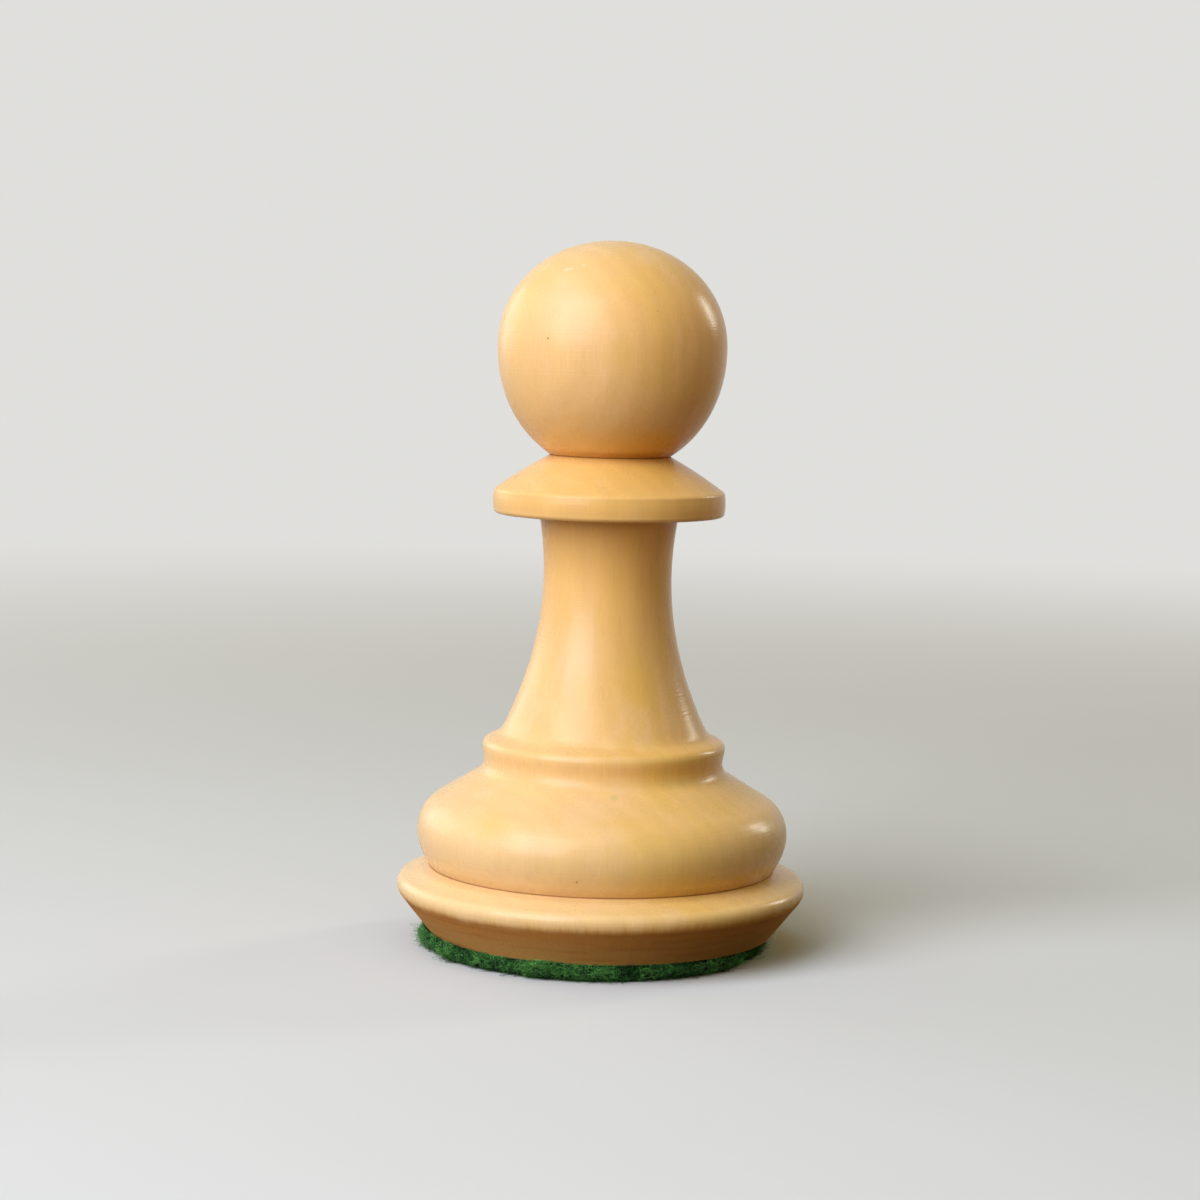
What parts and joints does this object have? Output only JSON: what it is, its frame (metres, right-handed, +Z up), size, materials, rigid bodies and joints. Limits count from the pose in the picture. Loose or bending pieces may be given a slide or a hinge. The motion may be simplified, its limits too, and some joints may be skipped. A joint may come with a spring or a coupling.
{
  "type": "chess pawn",
  "caption": "Turned boxwood chess pawn with a ball head, sloping collar, flared stem and domed, undercut base, weighted inside and felted beneath.",
  "frame": {"origin": "centre of the felt's underside, on the surface that the pawn stands on", "axes": "+Z up along the turning axis, X and Y alike, with -Y towards the camera of the picture"},
  "size_m": [0.0318, 0.0318, 0.055],
  "materials": {
    "boxwood": "satin lacquer over fine pale boxwood",
    "bar_steel": "sawn and turned mild steel bar",
    "plug_wood": "bare sanded wood",
    "green_felt": "fuzzy pressed wool felt"
  },
  "bodies": {
    "root": {"turned_body": "boxwood", "weight_slug": "bar_steel", "bore_plug": "plug_wood", "felt_pad": "green_felt"}
  },
  "joints": []
}
